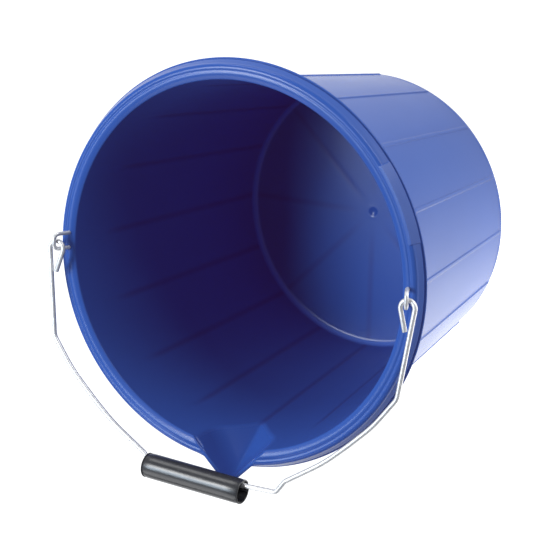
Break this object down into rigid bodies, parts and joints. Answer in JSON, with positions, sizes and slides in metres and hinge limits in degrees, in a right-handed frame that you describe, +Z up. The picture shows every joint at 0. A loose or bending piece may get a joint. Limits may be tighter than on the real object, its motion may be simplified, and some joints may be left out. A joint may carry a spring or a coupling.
{
  "type": "feed bucket",
  "caption": "Tapered moulded feed bucket with a rolled rim, a pouring spout and a hooked wire bail that swings on wire staples and carries a loose slotted grip.",
  "frame": {"origin": "centre of the foot ring, on the plane the bucket stands on", "axes": "+Z up along the bucket's axis, -Y towards the pouring spout, X along the bail's pivot axis"},
  "size_m": [0.342, 0.3567, 0.2828],
  "materials": {
    "shell_blue": "moulded polypropylene, satin sheen, lightly scuffed",
    "galvanised_wire": "bright galvanised drawn wire",
    "grip_black": "moulded plastic, soft sheen"
  },
  "bodies": {
    "bucket": {"bucket_body": "shell_blue", "staple_left": "galvanised_wire", "staple_right": "galvanised_wire"},
    "bail": {"bail": "galvanised_wire"},
    "grip": {"grip": "grip_black"}
  },
  "joints": [
    {"name": "bail_swing", "type": "hinge", "parent": "bucket", "child": "bail", "pos_m": [0, 0, 0.2582], "axis": [-1, 0, 0], "range_deg": [-4, 178.9]},
    {"name": "grip_spin", "type": "hinge", "parent": "bail", "child": "grip", "pos_m": [-0.01725, -0.17478, 0.27226], "axis": [0.9976, -0.0685, 0.0055], "continuous": true}
  ]
}
